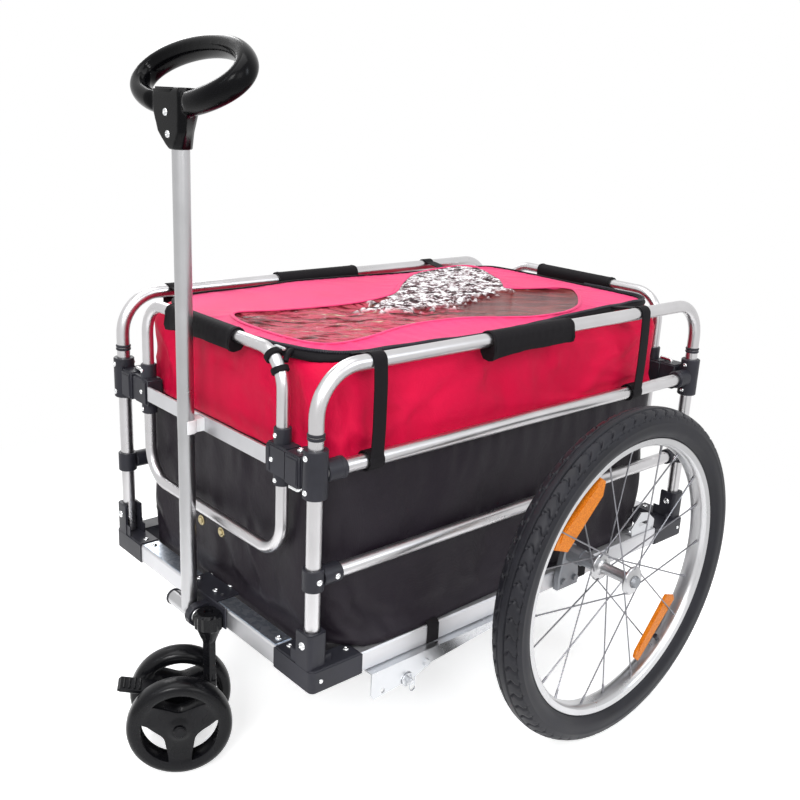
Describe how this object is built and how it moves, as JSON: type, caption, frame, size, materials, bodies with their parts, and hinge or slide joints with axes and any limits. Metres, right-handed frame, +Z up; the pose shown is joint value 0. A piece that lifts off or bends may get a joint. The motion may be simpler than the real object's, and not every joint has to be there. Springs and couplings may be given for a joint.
{
  "type": "bike cargo trailer",
  "caption": "Folding bicycle cargo trailer: open tube frame round a cloth box with a zipped clear-window cover, road wheels at the sides, a front caster and an upright pull handle.",
  "frame": {"origin": "on the ground, under the middle of the whole trailer with its handle upright", "axes": "+Z up, -Y towards the front with the caster and the pull handle, +X towards the trailer's left side with the tow bracket"},
  "size_m": [0.7758, 0.9332, 0.9501],
  "materials": {
    "satin_aluminium": "satin anodised",
    "cast_aluminium": "matt cast",
    "zinc_steel": "zinc plated",
    "black_plastic": "lightly grained moulding",
    "wheel_plastic": "moulded with a soft tread",
    "tyre_rubber": "block tread",
    "red_fabric": "coated woven cloth",
    "black_webbing": "woven webbing and padded cloth"
  },
  "bodies": {
    "trailer": {"axle_mount_left": "cast_aluminium", "axle_mount_right": "cast_aluminium", "bag": "red_fabric", "caster_head": "black_plastic", "corner_front_left": "black_plastic", "corner_front_right": "black_plastic", "corner_rear_left": "black_plastic", "corner_rear_right": "black_plastic", "flat_bar_front": "satin_aluminium", "flat_bar_rear": "satin_aluminium", "grip_front": "black_webbing", "grip_left": "black_webbing", "grip_rear": "black_webbing", "grip_right": "black_webbing", "hoop_left": "satin_aluminium", "hoop_right": "satin_aluminium", "joiner_front_left": "black_plastic", "joiner_front_right": "black_plastic", "joiner_rear_left": "black_plastic", "joiner_rear_right": "black_plastic", "lock_block_front_left": "black_plastic", "lock_block_front_right": "black_plastic", "lock_block_rear_left": "black_plastic", "lock_block_rear_right": "black_plastic", "low_bar_left": "satin_aluminium", "low_bar_right": "satin_aluminium", "mid_bar_left": "satin_aluminium", "mid_bar_right": "satin_aluminium", "pole_bracket": "black_plastic", "pole_clip": "black_plastic", "rail_front": "satin_aluminium", "rail_left": "satin_aluminium", "rail_rear": "satin_aluminium", "rail_right": "satin_aluminium", "ring_front_lower": "satin_aluminium", "ring_front_upper": "satin_aluminium", "ring_rear_lower": "satin_aluminium", "ring_rear_upper": "satin_aluminium", "slotted_plate": "zinc_steel", "tee_front_left": "black_plastic", "tee_front_right": "black_plastic", "tee_rear_left": "black_plastic", "tee_rear_right": "black_plastic", "tow_bracket": "zinc_steel"},
    "pull_handle": {"handle_pole": "satin_aluminium", "handle_ring": "black_plastic"},
    "caster_yoke": {"caster_fork": "black_plastic"},
    "caster_roller_left": {"caster_wheel_left": "wheel_plastic"},
    "caster_roller_right": {"caster_wheel_right": "wheel_plastic"},
    "pedal": {"brake_pedal": "black_plastic"},
    "road_wheel_left": {"tyre_left": "tyre_rubber", "rim_left": "satin_aluminium", "hub_left": "satin_aluminium"},
    "road_wheel_right": {"tyre_right": "tyre_rubber", "rim_right": "satin_aluminium", "hub_right": "satin_aluminium"},
    "pin_front_right": {"lock_pin_front_right": "zinc_steel"},
    "pin_rear_left": {"lock_pin_rear_left": "zinc_steel"},
    "top_cover": {"cover": "red_fabric"},
    "tow_pin": {"hitch_pin": "zinc_steel"}
  },
  "joints": [
    {"name": "handle_fold", "type": "hinge", "parent": "trailer", "child": "pull_handle", "pos_m": [0, -0.3494, 0.2], "axis": [1, 0, 0], "range_deg": [0, 80]},
    {"name": "caster_swivel", "type": "hinge", "parent": "trailer", "child": "caster_yoke", "pos_m": [0.047, -0.3466, 0.19], "axis": [0, 0, 1], "continuous": true},
    {"name": "caster_spin_left", "type": "hinge", "parent": "caster_yoke", "child": "caster_roller_left", "pos_m": [0.06118, -0.40158, 0.07], "axis": [0.8631, -0.505, 0], "continuous": true},
    {"name": "caster_spin_right", "type": "hinge", "parent": "caster_yoke", "child": "caster_roller_right", "pos_m": [-0.00788, -0.36118, 0.07], "axis": [0.8631, -0.505, 0], "continuous": true},
    {"name": "brake_press", "type": "hinge", "parent": "caster_yoke", "child": "pedal", "pos_m": [0.01554, -0.40037, 0.098], "axis": [0.8631, -0.505, 0], "range_deg": [0, 12]},
    {"name": "wheel_spin_left", "type": "hinge", "parent": "trailer", "child": "road_wheel_left", "pos_m": [0.3563, 0.1425, 0.25], "axis": [1, 0, 0], "continuous": true},
    {"name": "wheel_spin_right", "type": "hinge", "parent": "trailer", "child": "road_wheel_right", "pos_m": [-0.3563, 0.1425, 0.25], "axis": [1, 0, 0], "continuous": true},
    {"name": "pin_lift_front_right", "type": "slide", "parent": "trailer", "child": "pin_front_right", "axis": [0, 0, 1], "range_m": [0, 0.035]},
    {"name": "pin_lift_rear_left", "type": "slide", "parent": "trailer", "child": "pin_rear_left", "axis": [0, 0, 1], "range_m": [0, 0.035]},
    {"name": "cover_open", "type": "hinge", "parent": "trailer", "child": "top_cover", "pos_m": [0, 0.4014, 0.5913], "axis": [-1, 0, 0], "range_deg": [0, 100]},
    {"name": "tow_pin_pull", "type": "slide", "parent": "trailer", "child": "tow_pin", "axis": [1, 0, 0], "range_m": [0, 0.05]}
  ]
}
